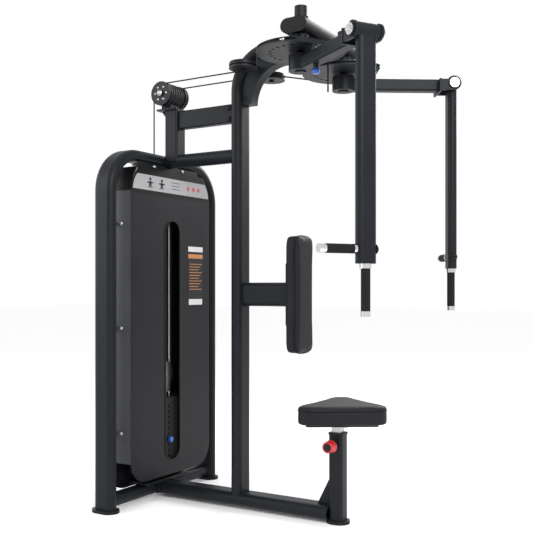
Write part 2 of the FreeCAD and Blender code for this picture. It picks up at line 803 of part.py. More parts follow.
def make_boom_gusset():
    """The web that fills the inside of the column's bend."""
    face = size("column_x") + size("oval_thick") / 2
    under = size("beam_z") - size("oval_thick") / 2
    inner = size("column_bend") - size("oval_thick") / 2
    low = size("gusset_low")
    sweep = 152
    heel = face + 47
    slant = math.sqrt(0.5)
    edges = [
        Part.LineSegment(Vector(face, 0, low), Vector(heel, 0, low)).toShape(),
        Part.Arc(
            Vector(heel, 0, low),
            Vector(heel + sweep * (1 - slant), 0, low + sweep * slant),
            Vector(heel + sweep, 0, low + sweep),
        ).toShape(),
        Part.LineSegment(Vector(heel + sweep, 0, low + sweep), Vector(740, 0, low + sweep)).toShape(),
        Part.LineSegment(Vector(740, 0, low + sweep), Vector(775, 0, under)).toShape(),
        Part.LineSegment(Vector(775, 0, under), Vector(face + inner, 0, under)).toShape(),
        Part.Arc(
            Vector(face + inner, 0, under),
            Vector(face + inner * (1 - slant), 0, under - inner * (1 - slant)),
            Vector(face, 0, under - inner),
        ).toShape(),
        Part.LineSegment(Vector(face, 0, under - inner), Vector(face, 0, low)).toShape(),
    ]
    wide = size("boom_wide")
    web = Part.Face(Part.Wire(edges)).extrude(Vector(0, wide, 0))
    node("boom_gusset", solid_feature("boom_gusset", web, (size("tower_x"), -wide / 2, 0)))


def beam_solid(name):
    """The crossbeam's outside as one solid, to seat other pieces against."""
    turn = Rotation(Vector(1, 0, 0), -90)
    at = ("tower_x + cross_x", "-beam_half", "cross_z")
    return oval_tube(name, "2 * beam_half", at, turn, "cross_wide", "cross_thick", None)


def make_crossbeam():
    """Crossbeam with its end plugs and the two pivot housings welded through it."""
    turn = Rotation(Vector(1, 0, 0), -90)
    at = ("tower_x + cross_x", "-beam_half", "cross_z")
    tube = oval_tube("beam_tube", "2 * beam_half", at, turn, "cross_wide", "cross_thick")
    stop = cylinder("stop_rod", 3.3, 190, ("tower_x + 855", 0, 1724))
    pieces = []
    plugs = []
    holes = []
    bushes = []
    caps = []
    for side, sign in SIDES.items():
        x = "tower_x + pivot_x"
        y = f"{sign} * pivot_y"
        holes.append(cylinder(f"beam_hole_{side}", "housing_radius", 200, (x, y, "beam_z - 100")))
        shell = cylinder(f"housing_{side}_outer", "housing_radius", 116, (x, y, "beam_z - 73"))
        collar = cylinder(f"housing_{side}_collar", 30, 18, (x, y, "beam_z + 25"))
        bore = cylinder(f"housing_{side}_bore", "bush_radius", 200, (x, y, "beam_z - 100"))
        pieces.append(cut(f"housing_{side}", fuse(f"housing_{side}_blank", shell, collar), bore))
        for place_name, height in (("low", "beam_z - 73"), ("high", "beam_z + 15")):
            ring = cylinder(f"bush_{side}_{place_name}_ring", "bush_radius", 28, (x, y, height))
            hole = cylinder(f"bush_{side}_{place_name}_hole", "shaft_radius + 0.06", 40, (x, y, f"{height} - 5"))
            bushes.append(cut(f"bush_{side}_{place_name}", ring, hole))
        dome = cylinder(f"cap_{side}_outer", 24.5, 41, (x, y, "beam_z + 43"))
        room = cylinder(f"cap_{side}_room", 21, 35, (x, y, "beam_z + 43"))
        caps.append(cut(f"cap_{side}", dome, room))
        low = "-beam_half - 5" if sign < 0 else "beam_half"
        at = ("tower_x + cross_x", low, "cross_z")
        plugs.append(oval_tube(f"plug_{side}", 5, at, turn, "cross_wide", "cross_thick", None))
    node("crossbeam", fuse("crossbeam", cut("beam", tube, *holes), stop, *pieces))
    node("pivot_bushes", group("pivot_bushes", *bushes))
    node("beam_caps", group("beam_caps", *plugs, *caps))


def make_cam(side, sign):
    """The grooved cam disc and the pivot shaft it is welded to, with a ring of index holes."""
    at = ("tower_x + pivot_x", f"{sign} * pivot_y", "cam_z + cam_thick / 2")
    wheel = grooved_wheel(
        f"cam_{side}_wheel", "cam_pitch", "cam_radius", "cam_thick", "shaft_radius", at, Rotation()
    )
    holes = []
    for number in range(INDEX_HOLES):
        angle = math.radians(sign * (size("arm_angle") + number * INDEX_STEP_DEG))
        holes.append(
            cylinder(
                f"cam_{side}_index_{number}",
                6.5,
                60,
                (
                    f"tower_x + pivot_x + index_radius * {math.cos(angle):.5f}",
                    f"{sign} * pivot_y + index_radius * {math.sin(angle):.5f}",
                    "cam_z - 10",
                ),
            )
        )
    chord = Part.makeBox(80, 400, 60, Vector(138, -200, size("cam_z") - 20))
    middle = (size("tower_x") + size("pivot_x"), sign * size("pivot_y"), 0)
    holes.append(solid_feature(f"cam_{side}_chord", chord, middle, arm_turn(sign)))
    shaft = cylinder(
        f"cam_{side}_shaft",
        "shaft_radius",
        "beam_z + 72 - (arm_z - arm_size / 2 - 5)",
        ("tower_x + pivot_x", f"{sign} * pivot_y", "arm_z - arm_size / 2 - 5"),
    )
    foot = cylinder(
        f"cam_{side}_foot",
        22,
        5,
        ("tower_x + pivot_x", f"{sign} * pivot_y", "arm_z - arm_size / 2 - 5"),
    )
    node(f"cam_{side}", fuse(f"cam_{side}", cut(f"cam_{side}_plate", wheel, *holes), shaft, foot))


def tangent_angle():
    """Where the cable meets the left cam, as an angle about the cam's centre."""
    side_y = size("cable_y") + size("side_pitch")
    run_x = size("pivot_x") - size("side_x")
    run_y = size("pivot_y") - side_y
    reach = math.hypot(run_x, run_y)
    heading = math.atan2(run_y, run_x) + math.asin((size("side_pitch") + size("cam_pitch")) / reach)
    return heading + math.pi / 2


def make_cable(side, sign):
    """Cable over the top pulley, along to the side pulley, round it and out to the cam."""
    x = size("tower_x")
    y = size("cable_y")
    z = size("cable_z")
    top = size("top_pitch")
    pitch = size("side_pitch")
    hub = Vector(x + size("run_x") + top, sign * y, z - top)
    pulley = Vector(x + size("side_x"), sign * (y + pitch), z)
    cam = Vector(x + size("pivot_x"), sign * size("pivot_y"), z)
    leave = tangent_angle()
    heading = leave - math.pi / 2
    down = hub + Vector(-top, 0, 0)
    crest = hub + Vector(0, 0, top)
    shoulder = hub + Vector(-top * math.sqrt(0.5), 0, top * math.sqrt(0.5))
    meet = pulley + Vector(0, -sign * pitch, 0)
    half = heading / 2
    bend = pulley + Vector(pitch * math.sin(half), -sign * pitch * math.cos(half), 0)
    depart = pulley + Vector(pitch * math.sin(heading), -sign * pitch * math.cos(heading), 0)
    land = cam + Vector(size("cam_pitch") * math.cos(leave), sign * size("cam_pitch") * math.sin(leave), 0)
    edges = [
        Part.Arc(down, shoulder, crest).toShape(),
        Part.LineSegment(crest, meet).toShape(),
        Part.Arc(meet, bend, depart).toShape(),
        Part.LineSegment(depart, land).toShape(),
    ]
    return solid_feature(f"cable_{side}", swept_cable(edges, down, Vector(0, 0, 1)))


def make_cables():
    """Both fixed cable runs, from the top pulleys to the cams."""
    node("upper_cables", group("upper_cables", *[make_cable(side, sign) for side, sign in SIDES.items()]))


def make_pulleys():
    """Top pulleys on one axle beside a ribbed drum, and side pulleys under their brackets."""
    top_at = "tower_x + run_x + top_pitch"
    pieces = [
        cylinder("top_axle", 8, 156, (top_at, -78, "cable_z - top_pitch"), TURN_TO["Y"]),
        cylinder("top_drum", 48, 86, (top_at, -43, "cable_z - top_pitch"), TURN_TO["Y"]),
        box("top_stand", (50, 60, "cable_z - top_pitch - deck_z"), (f"{top_at} - 25", -30, "deck_z")),
    ]
    axles = [fuse("top_support", *pieces)]
    for side, sign in SIDES.items():
        at = (top_at, f"{sign} * cable_y", "cable_z - top_pitch")
        node(
            f"top_pulley_{side}",
            grooved_wheel(f"top_pulley_{side}", "top_pitch", "top_radius", "pulley_thick", 8.06, at, TURN_TO["Y"]),
        )
        x = "tower_x + side_x"
        y = f"{sign} * (cable_y + side_pitch)"
        node(
            f"side_pulley_{side}",
            grooved_wheel(
                f"side_pulley_{side}",
                "side_pitch",
                "side_radius",
                "pulley_thick",
                8.06,
                (x, y, "cable_z"),
                Rotation(),
            ),
        )
        low = "-(cable_y + side_pitch)" if sign < 0 else "boom_wide / 2"
        tab = box(
            f"side_tab_{side}",
            (44, "cable_y + side_pitch - boom_wide / 2", 5),
            (f"{x} - 22", low, "cable_z + 12"),
        )
        plate = cylinder(f"side_plate_{side}", 56, 5, (x, y, "cable_z + 12"))
        pin = cylinder(f"side_axle_{side}", 8, 38, (x, y, "cable_z - 18"))
        head = cylinder(f"side_head_{side}", 13, 4, (x, y, "cable_z - 18"))
        axles.append(fuse(f"side_support_{side}", plate, tab, pin, head))
    node("pulley_supports", group("pulley_supports", *axles))


# Arms -------------------------------------------------------------------------------------------


def arm_turn(sign):
    return Rotation(Vector(0, 0, 1), sign * size("arm_angle"))


def arm_point(sign, radial, tangential, height):
    """A point beside an arm: along it, across it away from the machine's middle, and up."""
    angle = math.radians(size("arm_angle"))
    forward = Vector(math.cos(angle), sign * math.sin(angle), 0)
    outward = Vector(-math.sin(angle), sign * math.cos(angle), 0)
    pivot = Vector(size("tower_x") + size("pivot_x"), sign * size("pivot_y"), height)
    return pivot + forward * radial + outward * tangential


def make_arm(side, sign):
    """Square tube arm with a boss round the pivot shaft and a fork at its far end."""
    turn = arm_turn(sign)
    thick = size("arm_size")
    reach = size("arm_length")
    low = size("arm_z") - thick / 2
    across = Vector(0, 1, 0)
    bar = Part.makeBox(reach - 94.8, thick, thick, Vector(34, -thick / 2, low))
    bar = bar.makeFillet(8, [e for e in bar.Edges if abs(e.tangentAt(0).dot(Vector(1, 0, 0))) > 0.9])
    wall = size("wall")
    inner = Part.makeBox(
        reach - 121, thick - 2 * wall, thick - 2 * wall, Vector(60, wall - thick / 2, low + wall)
    )
    hub = size("hub_z")
    plate = Part.makeBox(8, 116, 54, Vector(reach - 60.8, -58, hub - 36))
    pieces = [plate]
    for start in (-56, 46):
        ear = Part.makeBox(54, 10, 46, Vector(reach - 54, start, hub - 30))
        pieces += [ear, Part.makeCylinder(30, 10, Vector(reach, start, hub), across)]
    boss = Part.makeCylinder(47, 62, Vector(0, 0, low))
    barrel = Part.makeCylinder(11, 14, Vector(size("index_radius"), 0, low - 14))
    bores = [
        Part.makeCylinder(size("shaft_radius") + 0.06, 200, Vector(0, 0, low - 60)),
        Part.makeCylinder(10, 200, Vector(reach, -100, hub), across),
        Part.makeCylinder(5.06, 200, Vector(size("index_radius"), 0, low - 60)),
    ]
    shape = bar.fuse(pieces + [boss, barrel]).removeSplitter()
    shape = shape.cut([inner] + bores)
    at = (size("tower_x") + size("pivot_x"), sign * size("pivot_y"), 0)
    node(f"arm_{side}", solid_feature(f"arm_{side}", shape, at, turn))


def make_index_pin(side, sign):
    """Pull pin under the arm. Its nose stops just under the cam's holes."""
    top = size("cam_z") - 3
    low = size("arm_z") - size("arm_size") / 2 - 36
    spot = arm_point(sign, size("index_radius"), 0, low)
    knob = cylinder(f"index_{side}_knob", 16, 20, (spot.x, spot.y, spot.z))
    shaft = cylinder(f"index_{side}_shaft", 5, top - low, (spot.x, spot.y, spot.z))
    node(f"index_pin_{side}", fuse(f"index_pin_{side}", knob, shaft))


def tubular(outer, inner, length, start, along):
    """A short round tube."""
    ring = Part.makeCylinder(outer, length, start, along)
    return ring.cut(Part.makeCylinder(inner, length, start, along))


def make_hanging_post(side, sign):
    """Hanging post with its hub sleeve, a rod for each of two grips, and their chrome ends."""
    spot = arm_point(sign, size("arm_length"), 0, 0)
    turn = arm_turn(sign)
    spin = turn.multiply(Rotation(Vector(0, 0, 1), 90))
    base = (spot.x, spot.y, "hang_bottom")
    tall = "hang_top - hang_bottom"
    tube = oval_tube(f"hang_{side}_tube", tall, base, spin, "hang_wide", "hang_thick")
    lid = oval_tube(f"hang_{side}_lid", 4, base, spin, "hang_wide", "hang_thick", None)
    at = tuple(spot)
    hub = size("hub_z")
    across = Vector(0, 1, 0)
    down = Vector(0, 0, -1)
    outward = Vector(0, sign, 0)
    low = size("hang_bottom")
    bar_z = size("bar_z")
    rod = size("grip_rod")
    grip = size("grip_radius")
    shapes = {
        "sleeve": Part.makeCylinder(size("hub_radius"), 91, Vector(0, -45.5, hub), across),
        "stand": Part.makeCylinder(rod, 159, Vector(0, 0, low), down),
        "rod": Part.makeCylinder(rod, 125, outward * 30 + Vector(0, 0, bar_z), outward),
        "bore": Part.makeCylinder(10.06, 200, Vector(0, -100, hub), across),
    }
    made = {name: solid_feature(f"hang_{side}_{name}", shape, at, turn) for name, shape in shapes.items()}
    blank = fuse(f"hang_{side}_blank", tube, lid, made["sleeve"], made["stand"], made["rod"])
    node(f"post_{side}", cut(f"post_{side}", blank, made["bore"]))
    upright = tubular(grip, rod, 143, Vector(0, 0, low - 16), down)
    level = tubular(grip, rod, 105, outward * 50 + Vector(0, 0, bar_z), outward)
    node(f"grips_{side}", solid_feature(f"grips_{side}", Part.makeCompound([upright, level]), at, turn))
    chrome = [
        tubular(20, rod, 16, Vector(0, 0, low), down),
        Part.makeCylinder(grip + 0.5, 18, Vector(0, 0, low - 159), down),
        tubular(grip + 1, rod, 10, outward * 40 + Vector(0, 0, bar_z), outward),
        Part.makeCylinder(grip - 1, 27, outward * 155 + Vector(0, 0, bar_z), outward),
    ]
    node(f"grip_ends_{side}", solid_feature(f"grip_ends_{side}", Part.makeCompound(chrome), at, turn))


def make_hub_pin(side, sign):
    """Chrome pin through the fork and sleeve, with a stepped cap outside each ear."""
    shape = Part.makeCylinder(10, 112, Vector(0, -56, 0), Vector(0, 1, 0))
    for direction in (-1, 1):
        along = Vector(0, direction, 0)
        cap = Part.makeCylinder(20, 9, Vector(0, direction * 56, 0), along)
        tip = Part.makeCylinder(11, 9, Vector(0, direction * 65, 0), along)
        shape = shape.fuse([cap, tip])
    at = tuple(arm_point(sign, size("arm_length"), 0, size("hub_z")))
    node(f"hub_pin_{side}", solid_feature(f"hub_pin_{side}", shape.removeSplitter(), at, arm_turn(sign)))


# Pads and seat ----------------------------------------------------------------------------------


def make_back_pad():
    """Support tube from the column, the plywood board and the foam pad in front of it."""
    start = "column_x + oval_thick / 2"
    turn = Rotation(Vector(0, 1, 0), 90)
    run = f"pad_back - 12 - ({start})"
    tube = oval_tube("pad_tube", run, (f"tower_x + {start}", 0, "pad_z"), turn)
    plate = box("pad_plate", (6, 90, 260), ("tower_x + pad_back - 12", -45, "pad_z - 130"))
    node("pad_support", fuse("pad_support", tube, rounded("pad_plate_skin", plate, 10, Vector(1, 0, 0))))
    board = box(
        "board_blank",
        (6, "pad_wide - 50", "pad_tall - 50"),
        ("tower_x + pad_back - 6", "25 - pad_wide / 2", "pad_z - pad_tall / 2 + 25"),
    )
    node("back_pad_board", rounded("back_pad_board", board, 22, Vector(1, 0, 0)))
    foam = box(
        "foam_blank",
        ("pad_thick", "pad_wide", "pad_tall"),
        ("tower_x + pad_back", "-pad_wide / 2", "pad_z - pad_tall / 2"),
    )
    node("back_pad", rounded("back_pad", foam, 28, Vector(1, 0, 0)))


def seat_outline(corner, height, low):
    """A rounded triangle, broad at the back and narrow at the front."""
    x = size("tower_x")
    rear = [Vector(x + size("seat_rear_x"), s * size("seat_rear_y"), low) for s in (-1, 1)]
    nose = Vector(x + size("seat_nose_x"), 0, low)
    centres = [rear[0], nose, rear[1]]
    edges = []
    count = len(centres)
    points = []
    for index, centre in enumerate(centres):
        before = (centre - centres[index - 1]).normalize()
        after = (centres[(index + 1) % count] - centre).normalize()
        arrive = centre + Vector(before.y, -before.x, 0) * corner
        depart = centre + Vector(after.y, -after.x, 0) * corner
        outward = (Vector(before.y, -before.x, 0) + Vector(after.y, -after.x, 0)).normalize()
        points.append((arrive, centre + outward * corner, depart))
    for index, (arrive, middle, depart) in enumerate(points):
        edges.append(Part.Arc(arrive, middle, depart).toShape())
        edges.append(Part.LineSegment(depart, points[(index + 1) % count][0]).toShape())
    return Part.Face(Part.Wire(edges)).extrude(Vector(0, 0, height))


def make_seat():
    """Outer post with its gusset, collar, chrome seat tube, board, pad and height pin."""
    x = "tower_x + seat_post_x"
    tube = square_tube(
        "outer_tube", "post_size", "seat_post_top - floor_gap", (x, 0, "floor_gap"), 13
    )
    web = Part.Face(
        Part.makePolygon([Vector(0, 0, 0), Vector(-60, 0, 0), Vector(0, 0, 120), Vector(0, 0, 0)])
    )
    heel = (
        size("tower_x") + size("seat_post_x") - size("post_size") / 2,
        -3,
        size("spine_z") + size("spine_thick") / 2,
    )
    gusset = solid_feature("seat_gusset", web.extrude(Vector(0, 6, 0)), heel)
    barrel = cylinder("seat_barrel", 13, 30, (x, -60, "seat_pin_z"), TURN_TO["Y"])
    bore = cylinder("seat_barrel_bore", 5.06, 62, (x, -62, "seat_pin_z"), TURN_TO["Y"])
    node("seat_post", cut("seat_post", fuse("seat_post_blank", tube, gusset, barrel), bore))
    ring = box("collar_outer", (64, 64, 8), (f"{x} - 32", -32, "seat_post_top"))
    ring = rounded("collar_skin", ring, 12, Vector(0, 0, 1))
    mouth = box("collar_mouth", ("seat_tube + 0.8", "seat_tube + 0.8", 20), (f"{x} - (seat_tube + 0.8) / 2", "-(seat_tube + 0.8) / 2", "seat_post_top - 5"))
    node("seat_post_collar", cut("seat_post_collar", ring, mouth))
    chrome = square_tube("chrome_tube", "seat_tube", "seat_bottom - 12 - 66", (x, 0, 66), 5)
    flange = box("seat_flange", (130, 130, 6), (f"{x} - 65", -65, "seat_bottom - 12"))
    flange = rounded("seat_flange_skin", flange, 14, Vector(0, 0, 1))
    holes = [
        cylinder(
            f"seat_hole_{n}",
            SEAT_HOLE_RADIUS,
            30,
            (x, -40, f"seat_pin_z - {n * SEAT_HOLE_STEP}"),
            TURN_TO["Y"],
        )
        for n in range(SEAT_HOLES)
    ]
    node("seat_tube", cut("seat_tube", fuse("seat_tube_blank", chrome, flange), *holes))
    low = size("seat_bottom") - 6
    node("seat_board", solid_feature("seat_board", seat_outline(size("seat_corner") - 36, 6, low)))
    pad = seat_outline(size("seat_corner"), size("seat_thick"), size("seat_bottom"))
    node("seat_pad", solid_feature("seat_pad", pad))
    shaft = cylinder("seat_pin_shaft", 5, 70, (x, -96, "seat_pin_z"), TURN_TO["Y"])
    knob = cylinder("seat_pin_knob", 25, 34, (x, -96, "seat_pin_z"), TURN_TO["Y"])
    node("seat_pin", fuse("seat_pin", shaft, knob))


make_bow()
make_feet()
make_base()
make_column()
make_braces()
make_pulley_post()
make_covers()
make_rods()
make_stack()
make_floating_pulley()
make_boom_gusset()
make_crossbeam()
make_cables()
make_pulleys()
make_back_pad()
make_seat()
for side_name, side_sign in SIDES.items():
    make_cam(side_name, side_sign)
    make_arm(side_name, side_sign)
    make_index_pin(side_name, side_sign)
    make_hanging_post(side_name, side_sign)
    make_hub_pin(side_name, side_sign)

doc.recompute()
for item in doc.Objects:
    if "Invalid" in item.State or "Error" in item.State:
        raise RuntimeError(f"{item.Name} failed: {item.State}")
os.makedirs("parts", exist_ok=True)
for name, item in nodes.items():
    shape = item.Shape
    if shape.isNull() or not shape.isValid() or not shape.Solids:
        raise RuntimeError(f"{name} has no valid solid")
    shape.exportStep(f"parts/{name}.step")
    print(f"{name}: {len(shape.Solids)} solids, {shape.Volume / 1000:.0f} cm3")
outline = [item.Shape.BoundBox for item in nodes.values()]
low = [min(getattr(b, a) for b in outline) for a in ("XMin", "YMin", "ZMin")]
high = [max(getattr(b, a) for b in outline) for a in ("XMax", "YMax", "ZMax")]
print(len(nodes), "nodes from", [round(v, 2) for v in low], "to", [round(v, 2) for v in high])
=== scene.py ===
import json
import math

import bmesh
import bpy
from mathutils import Matrix, Vector


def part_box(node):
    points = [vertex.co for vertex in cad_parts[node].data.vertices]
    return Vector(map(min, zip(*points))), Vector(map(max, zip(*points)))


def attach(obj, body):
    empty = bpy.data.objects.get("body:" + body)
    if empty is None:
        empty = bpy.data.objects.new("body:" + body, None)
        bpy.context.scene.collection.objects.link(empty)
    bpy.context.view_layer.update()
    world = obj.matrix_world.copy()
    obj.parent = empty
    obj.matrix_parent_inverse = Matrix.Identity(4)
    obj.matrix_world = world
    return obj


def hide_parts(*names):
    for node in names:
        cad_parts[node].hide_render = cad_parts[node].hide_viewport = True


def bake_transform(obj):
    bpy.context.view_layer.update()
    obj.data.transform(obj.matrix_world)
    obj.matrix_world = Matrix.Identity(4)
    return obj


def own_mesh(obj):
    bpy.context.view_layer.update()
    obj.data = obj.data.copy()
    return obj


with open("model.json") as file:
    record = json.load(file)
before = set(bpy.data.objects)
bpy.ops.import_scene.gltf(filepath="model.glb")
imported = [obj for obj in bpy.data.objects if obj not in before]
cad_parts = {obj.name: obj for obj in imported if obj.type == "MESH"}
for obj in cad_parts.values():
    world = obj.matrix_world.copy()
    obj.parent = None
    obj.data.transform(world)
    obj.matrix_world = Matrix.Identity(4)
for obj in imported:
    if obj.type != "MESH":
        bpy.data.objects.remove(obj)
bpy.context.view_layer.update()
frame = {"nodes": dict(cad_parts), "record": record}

NODES = frame["nodes"]
SIDES = {"right": -1, "left": 1}
ARM_TURN = math.radians(33.17)


# Where the main pieces stand, read from the frame ------------------------------------------------


def middle(node):
    low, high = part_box(node)
    return (Vector(low) + Vector(high)) / 2


def low_of(node):
    return Vector(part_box(node)[0])


def high_of(node):
    return Vector(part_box(node)[1])


def joint(name):
    for row in frame["record"]["behaviour"]["joints"]:
        if row["name"] == name:
            return row
    raise KeyError(name)


TOWER_X = middle("base_cross_tube").x


# Materials ---------------------------------------------------------------------------------------


def surface(name, colour, rough, metal=0.0, grain=900.0, bump=0.05, vary=0.12, coat=0.0, cells=0.0, spec=0.5):
    """A finish with fine grain in its height, and broader drift in its colour and gloss."""
    made = bpy.data.materials.new(name)
    made.use_nodes = True
    tree = made.node_tree
    shader = tree.nodes["Principled BSDF"]
    shader.inputs["Metallic"].default_value = metal
    shader.inputs["Coat Weight"].default_value = coat
    shader.inputs["Coat Roughness"].default_value = 0.25
    shader.inputs["Specular IOR Level"].default_value = spec
    place = tree.nodes.new("ShaderNodeTexCoord")
    drift = tree.nodes.new("ShaderNodeTexNoise")
    drift.inputs["Scale"].default_value = 9.0
    drift.inputs["Detail"].default_value = 6.0
    fine = tree.nodes.new("ShaderNodeTexNoise")
    fine.inputs["Scale"].default_value = grain
    fine.inputs["Detail"].default_value = 3.0
    tree.links.new(place.outputs["Object"], drift.inputs["Vector"])
    tree.links.new(place.outputs["Object"], fine.inputs["Vector"])
    ramp = tree.nodes.new("ShaderNodeValToRGB")
    ramp.color_ramp.elements[0].position = 0.3
    ramp.color_ramp.elements[1].position = 0.7
    ramp.color_ramp.elements[0].color = tuple(c * (1 - vary) for c in colour) + (1.0,)
    ramp.color_ramp.elements[1].color = tuple(min(1.0, c * (1 + vary)) for c in colour) + (1.0,)
    tree.links.new(drift.outputs["Fac"], ramp.inputs["Fac"])
    tree.links.new(ramp.outputs["Color"], shader.inputs["Base Color"])
    gloss = tree.nodes.new("ShaderNodeMapRange")
    gloss.inputs["To Min"].default_value = max(0.02, rough - 0.06)
    gloss.inputs["To Max"].default_value = min(1.0, rough + 0.06)
    tree.links.new(drift.outputs["Fac"], gloss.inputs["Value"])
    tree.links.new(gloss.outputs["Result"], shader.inputs["Roughness"])
    raised = tree.nodes.new("ShaderNodeBump")
    raised.inputs["Strength"].default_value = bump
    raised.inputs["Distance"].default_value = 0.001
    height = fine.outputs["Fac"]
    if cells:
        pebble = tree.nodes.new("ShaderNodeTexVoronoi")
        pebble.feature = "SMOOTH_F1"
        pebble.inputs["Scale"].default_value = cells
        tree.links.new(place.outputs["Object"], pebble.inputs["Vector"])
        both = tree.nodes.new("ShaderNodeMath")
        both.operation = "ADD"
        tree.links.new(pebble.outputs["Distance"], both.inputs[0])
        tree.links.new(fine.outputs["Fac"], both.inputs[1])
        height = both.outputs["Value"]
    tree.links.new(height, raised.inputs["Height"])
    tree.links.new(raised.outputs["Normal"], shader.inputs["Normal"])
    return made


FRAME = surface("powder_coat", (0.0070, 0.0085, 0.0112), 0.42, grain=1400, bump=0.10, spec=0.16)
PANEL = surface("panel_coat", (0.0090, 0.0095, 0.0118), 0.40, grain=1800, bump=0.08, spec=0.16)
STRIP = surface("strip_coat", (0.050, 0.0515, 0.056), 0.45, grain=1600, bump=0.06, vary=0.05, spec=0.3)
HEADER = surface("header_coat", (0.0050, 0.0050, 0.0058), 0.36, grain=1600, bump=0.05, spec=0.15)
SIGN = surface("sign_sheet", (0.300, 0.300, 0.310), 0.40, grain=1200, bump=0.02, vary=0.03, spec=0.3)
TRIM = surface("trim_plastic", (0.0085, 0.0085, 0.0095), 0.48, grain=1100, bump=0.08, spec=0.2)
NYLON = surface("pulley_nylon", (0.0110, 0.0115, 0.0130), 0.44, grain=1000, bump=0.08, spec=0.2)
CABLE = surface("cable_coat", (0.0085, 0.0085, 0.0095), 0.42, grain=2200, bump=0.12, spec=0.2)
CHROME = surface("chrome_plate", (0.62, 0.62, 0.64), 0.18, metal=1.0, grain=700, bump=0.01, vary=0.04)
SATIN = surface("satin_steel", (0.42, 0.42, 0.44), 0.30, metal=1.0, grain=1200, bump=0.05, vary=0.06)
ZINC = surface("zinc_plate", (0.42, 0.42, 0.44), 0.32, metal=1.0, grain=900, bump=0.06, vary=0.08)
IRON = surface("cast_plate", (0.0120, 0.0120, 0.0135), 0.58, grain=500, bump=0.30, vary=0.2, spec=0.2)
BRONZE = surface("bush_bronze", (0.32, 0.20, 0.08), 0.34, metal=1.0, grain=900, bump=0.05)
RUBBER = surface("rubber", (0.0095, 0.0095, 0.0095), 0.74, grain=1500, bump=0.25, vary=0.2, spec=0.12)
LEATHER = surface("grained_leather", (0.0095, 0.0100, 0.0115), 0.50, grain=1600, bump=0.40, cells=420, spec=0.14)
STITCH = surface("seam_leather", (0.0060, 0.0060, 0.0070), 0.52, grain=1800, bump=0.35, cells=600, spec=0.12)
BOARD = surface("painted_board", (0.0140, 0.0130, 0.0120), 0.66, grain=240, bump=0.25, vary=0.25, spec=0.2)
BLUE = surface("knob_blue", (0.010, 0.075, 0.36), 0.30, grain=900, bump=0.04, coat=0.2)
RED = surface("knob_red", (0.46, 0.010, 0.013), 0.28, grain=900, bump=0.04, coat=0.2)
WHITE = surface("print_white", (0.55, 0.55, 0.55), 0.45, grain=900, bump=0.01, vary=0.02)
ORANGE = surface("print_orange", (0.42, 0.16, 0.045), 0.45, grain=900, bump=0.01, vary=0.03)
INK = surface("print_ink", (0.014, 0.014, 0.016), 0.45, grain=900, bump=0.01, vary=0.03, spec=0.2)

BY_SLOT = {
    "frame_paint": FRAME,
    "panel_paint": PANEL,
    "strip_paint": STRIP,
    "header_paint": HEADER,
    "sign_face": SIGN,
    "trim_black": TRIM,
    "pulley_nylon": NYLON,
    "cable_coat": CABLE,
    "chrome": CHROME,
    "zinc": ZINC,
    "iron": IRON,
    "bronze": BRONZE,
    "rubber": RUBBER,
    "upholstery": LEATHER,
    "board": BOARD,
    "knob_blue": BLUE,
    "knob_red": RED,
}
for row in frame["record"]["subparts"]:
    shown = NODES[row["node"]]
    for index in range(max(1, len(shown.material_slots))):
        if not shown.material_slots:
            shown.data.materials.append(BY_SLOT[row["material_slot"]])
        shown.material_slots[index].material = BY_SLOT[row["material_slot"]]
for slot in NODES["seat_tube"].material_slots:
    slot.material = SATIN


# Making pieces -----------------------------------------------------------------------------------


def piece(name, mesh, material, body, smooth=True):
    made = bpy.data.objects.new(name, mesh)
    bpy.context.scene.collection.objects.link(made)
    made.data.materials.clear()
    made.data.materials.append(material)
    if smooth:
        for face in made.data.polygons:
            face.use_smooth = True
    if body:
        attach(made, body)
    return made


def lathe(profile, at, axis, steps=40):
    """A turned solid: (radius, distance) pairs along an axis from a point."""
    turn = Vector((0, 0, 1)).rotation_difference(Vector(axis).normalized()).to_matrix()
    made = bmesh.new()
    rings = []
    for radius, along in profile:
        ring = []
        for step in range(steps):
            angle = 2 * math.pi * step / steps
            spot = Vector((radius * math.cos(angle), radius * math.sin(angle), along))
            ring.append(made.verts.new(Vector(at) + turn @ spot))
        rings.append(ring)
    for one, two in zip(rings, rings[1:]):
        for step in range(steps):
            after = (step + 1) % steps
            made.faces.new((one[step], one[after], two[after], two[step]))
    made.faces.new(list(reversed(rings[0])))
    made.faces.new(rings[-1])
    bmesh.ops.recalc_face_normals(made, faces=made.faces)
    return finished(made)


def finished(made):
    mesh = bpy.data.meshes.new("shape")
    made.to_mesh(mesh)
    made.free()
    return mesh


def joined(*meshes):
    made = bmesh.new()
    for mesh in meshes:
        made.from_mesh(mesh)
    return finished(made)


def tube(points, radius, closed=False, sides=12):
    """A round tube that follows points, as one closed mesh."""
    made = bmesh.new()
    count = len(points)
    rings = []
    side = Vector((0, 0, 1))
    for index, point in enumerate(points):
        before = points[index - 1] if index or closed else points[index]
        after = points[(index + 1) % count] if index < count - 1 or closed else points[index]
        along = (Vector(after) - Vector(before)).normalized()
        if abs(along.dot(side)) > 0.95:
            side = Vector((1, 0, 0)) if abs(along.x) < 0.9 else Vector((0, 1, 0))
        first = along.cross(side).normalized()
        second = along.cross(first)
        ring = []
        for step in range(sides):
            angle = 2 * math.pi * step / sides
            offset = first * math.cos(angle) + second * math.sin(angle)
            ring.append(made.verts.new(Vector(point) + offset * radius))
        rings.append(ring)
    pairs = list(zip(rings, rings[1:])) + ([(rings[-1], rings[0])] if closed else [])
    for one, two in pairs:
        for step in range(sides):
            after = (step + 1) % sides
            made.faces.new((one[step], one[after], two[after], two[step]))
    if not closed:
        made.faces.new(list(reversed(rings[0])))
        made.faces.new(rings[-1])
    bmesh.ops.recalc_face_normals(made, faces=made.faces)
    return finished(made)


